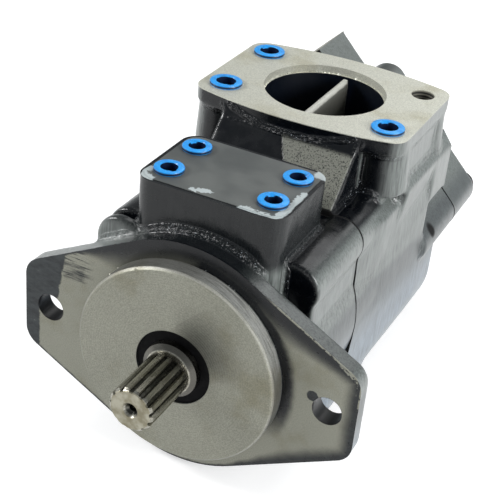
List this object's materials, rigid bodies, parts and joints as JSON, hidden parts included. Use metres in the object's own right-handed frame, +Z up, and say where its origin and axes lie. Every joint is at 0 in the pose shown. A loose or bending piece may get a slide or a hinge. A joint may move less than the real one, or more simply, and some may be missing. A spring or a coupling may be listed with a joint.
{
  "type": "hydraulic vane pump",
  "caption": "Tandem hydraulic vane pump with a two-bolt mounting flange, splined drive shaft, shared top inlet, front outlet and angled rear outlet.",
  "frame": {"origin": "where the shaft's axis meets the face of the mounting flange", "axes": "+Y along the shaft's axis from the flange to the rear cover, so the shaft points to -Y; +Z up out of the inlet; +X to the right seen from the shaft's end"},
  "size_m": [0.1744, 0.2948, 0.1496],
  "materials": {
    "casting_paint": "thick gloss black paint over a cast surface, machined where other parts fit",
    "cover_paint": "matte dark grey paint over a cast surface",
    "shaft_steel": "ground and hobbed steel",
    "seal_rubber": "black nitrile rubber",
    "seal_steel": "blackened steel case",
    "bearing_steel": "ground bearing steel",
    "cage_brass": "pressed brass",
    "ball_steel": "polished steel balls",
    "spring_steel": "dark spring steel",
    "bushing_bronze": "sintered bronze",
    "bolt_steel": "black oxide steel",
    "plug_plastic": "bright blue soft plastic",
    "cover_sheet": "smooth dark grey protective sheet",
    "cartridge_steel": "ground steel",
    "cartridge_bronze": "bronze faced steel plates",
    "rotor_steel": "ground steel",
    "vane_steel": "lapped steel"
  },
  "bodies": {
    "housing": {"front_body": "casting_paint", "inlet_body": "casting_paint", "rear_cover": "cover_paint", "seal_case": "seal_steel", "rear_shaft_bushing": "bushing_bronze", "front_joint_o_ring": "seal_rubber", "rear_joint_o_ring": "seal_rubber", "front_plate_seal": "seal_rubber", "rear_plate_seal": "seal_rubber", "front_bolts": "bolt_steel", "rear_bolts": "bolt_steel", "outlet_thread_plugs": "plug_plastic", "inlet_thread_plugs": "plug_plastic", "outlet_cover_sheet": "cover_sheet", "front_cam_ring": "cartridge_steel", "front_inlet_plate": "cartridge_bronze", "front_outlet_plate": "cartridge_bronze", "front_locating_pins": "spring_steel", "front_cartridge_screws": "bolt_steel", "rear_cam_ring": "cartridge_steel", "rear_inlet_plate": "cartridge_bronze", "rear_outlet_plate": "cartridge_bronze", "rear_locating_pins": "spring_steel", "rear_cartridge_screws": "bolt_steel", "shaft_seal": "seal_rubber", "bearing_outer_race": "bearing_steel", "bearing_retaining_ring": "spring_steel"},
    "shaft": {"drive_shaft": "shaft_steel", "bearing_inner_race": "bearing_steel", "shaft_retaining_ring": "spring_steel", "front_rotor": "rotor_steel", "rear_rotor": "rotor_steel"},
    "ball_set": {"bearing_balls": "ball_steel", "bearing_cage": "cage_brass"},
    "front_vane_01": {"front_vane_01": "vane_steel"},
    "front_vane_02": {"front_vane_02": "vane_steel"},
    "front_vane_03": {"front_vane_03": "vane_steel"},
    "front_vane_04": {"front_vane_04": "vane_steel"},
    "front_vane_05": {"front_vane_05": "vane_steel"},
    "front_vane_06": {"front_vane_06": "vane_steel"},
    "front_vane_07": {"front_vane_07": "vane_steel"},
    "front_vane_08": {"front_vane_08": "vane_steel"},
    "front_vane_09": {"front_vane_09": "vane_steel"},
    "front_vane_10": {"front_vane_10": "vane_steel"},
    "rear_vane_01": {"rear_vane_01": "vane_steel"},
    "rear_vane_02": {"rear_vane_02": "vane_steel"},
    "rear_vane_03": {"rear_vane_03": "vane_steel"},
    "rear_vane_04": {"rear_vane_04": "vane_steel"},
    "rear_vane_05": {"rear_vane_05": "vane_steel"},
    "rear_vane_06": {"rear_vane_06": "vane_steel"},
    "rear_vane_07": {"rear_vane_07": "vane_steel"},
    "rear_vane_08": {"rear_vane_08": "vane_steel"},
    "rear_vane_09": {"rear_vane_09": "vane_steel"},
    "rear_vane_10": {"rear_vane_10": "vane_steel"}
  },
  "joints": [
    {"name": "shaft_spin", "type": "hinge", "parent": "housing", "child": "shaft", "pos_m": [0, 0, 0], "axis": [0, 1, 0], "continuous": true},
    {"name": "ball_set_spin", "type": "hinge", "parent": "housing", "child": "ball_set", "pos_m": [0, 0.01, 0], "axis": [0, 1, 0], "continuous": true},
    {"name": "front_vane_01_slide", "type": "slide", "parent": "shaft", "child": "front_vane_01", "axis": [0.9877, 0, 0.1564], "range_m": [0, 0.00408]},
    {"name": "front_vane_02_slide", "type": "slide", "parent": "shaft", "child": "front_vane_02", "axis": [0.7071, 0, 0.7071], "range_m": [0, 0.00227]},
    {"name": "front_vane_03_slide", "type": "slide", "parent": "shaft", "child": "front_vane_03", "axis": [0.1564, 0, 0.9877], "range_m": [0, 0.00067]},
    {"name": "front_vane_04_slide", "type": "slide", "parent": "shaft", "child": "front_vane_04", "axis": [-0.454, 0, 0.891], "range_m": [0, 0.00124]},
    {"name": "front_vane_05_slide", "type": "slide", "parent": "shaft", "child": "front_vane_05", "axis": [-0.891, 0, 0.454], "range_m": [0, 0.00335]},
    {"name": "front_vane_06_slide", "type": "slide", "parent": "shaft", "child": "front_vane_06", "axis": [-0.9877, 0, -0.1564], "range_m": [0, 0.00408]},
    {"name": "front_vane_07_slide", "type": "slide", "parent": "shaft", "child": "front_vane_07", "axis": [-0.7071, 0, -0.7071], "range_m": [0, 0.00227]},
    {"name": "front_vane_08_slide", "type": "slide", "parent": "shaft", "child": "front_vane_08", "axis": [-0.1564, 0, -0.9877], "range_m": [0, 0.00067]},
    {"name": "front_vane_09_slide", "type": "slide", "parent": "shaft", "child": "front_vane_09", "axis": [0.454, 0, -0.891], "range_m": [0, 0.00124]},
    {"name": "front_vane_10_slide", "type": "slide", "parent": "shaft", "child": "front_vane_10", "axis": [0.891, 0, -0.454], "range_m": [0, 0.00335]},
    {"name": "rear_vane_01_slide", "type": "slide", "parent": "shaft", "child": "rear_vane_01", "axis": [0.891, 0, 0.454], "range_m": [0, 0.00288]},
    {"name": "rear_vane_02_slide", "type": "slide", "parent": "shaft", "child": "rear_vane_02", "axis": [0.454, 0, 0.891], "range_m": [0, 0.00112]},
    {"name": "rear_vane_03_slide", "type": "slide", "parent": "shaft", "child": "rear_vane_03", "axis": [-0.1564, 0, 0.9877], "range_m": [0, 0.00065]},
    {"name": "rear_vane_04_slide", "type": "slide", "parent": "shaft", "child": "rear_vane_04", "axis": [-0.7071, 0, 0.7071], "range_m": [0, 0.00197]},
    {"name": "rear_vane_05_slide", "type": "slide", "parent": "shaft", "child": "rear_vane_05", "axis": [-0.9877, 0, 0.1564], "range_m": [0, 0.00349]},
    {"name": "rear_vane_06_slide", "type": "slide", "parent": "shaft", "child": "rear_vane_06", "axis": [-0.891, 0, -0.454], "range_m": [0, 0.00288]},
    {"name": "rear_vane_07_slide", "type": "slide", "parent": "shaft", "child": "rear_vane_07", "axis": [-0.454, 0, -0.891], "range_m": [0, 0.00112]},
    {"name": "rear_vane_08_slide", "type": "slide", "parent": "shaft", "child": "rear_vane_08", "axis": [0.1564, 0, -0.9877], "range_m": [0, 0.00065]},
    {"name": "rear_vane_09_slide", "type": "slide", "parent": "shaft", "child": "rear_vane_09", "axis": [0.7071, 0, -0.7071], "range_m": [0, 0.00197]},
    {"name": "rear_vane_10_slide", "type": "slide", "parent": "shaft", "child": "rear_vane_10", "axis": [0.9877, 0, -0.1564], "range_m": [0, 0.00349]}
  ],
  "couplings": [
    {"joint": "ball_set_spin", "follows": "shaft_spin", "ratio": 0.3965},
    {"joint": "front_vane_06_slide", "follows": "front_vane_01_slide", "ratio": 1},
    {"joint": "front_vane_07_slide", "follows": "front_vane_02_slide", "ratio": 1},
    {"joint": "front_vane_08_slide", "follows": "front_vane_03_slide", "ratio": 1},
    {"joint": "front_vane_09_slide", "follows": "front_vane_04_slide", "ratio": 1},
    {"joint": "front_vane_10_slide", "follows": "front_vane_05_slide", "ratio": 1},
    {"joint": "rear_vane_06_slide", "follows": "rear_vane_01_slide", "ratio": 1},
    {"joint": "rear_vane_07_slide", "follows": "rear_vane_02_slide", "ratio": 1},
    {"joint": "rear_vane_08_slide", "follows": "rear_vane_03_slide", "ratio": 1},
    {"joint": "rear_vane_09_slide", "follows": "rear_vane_04_slide", "ratio": 1},
    {"joint": "rear_vane_10_slide", "follows": "rear_vane_05_slide", "ratio": 1}
  ]
}
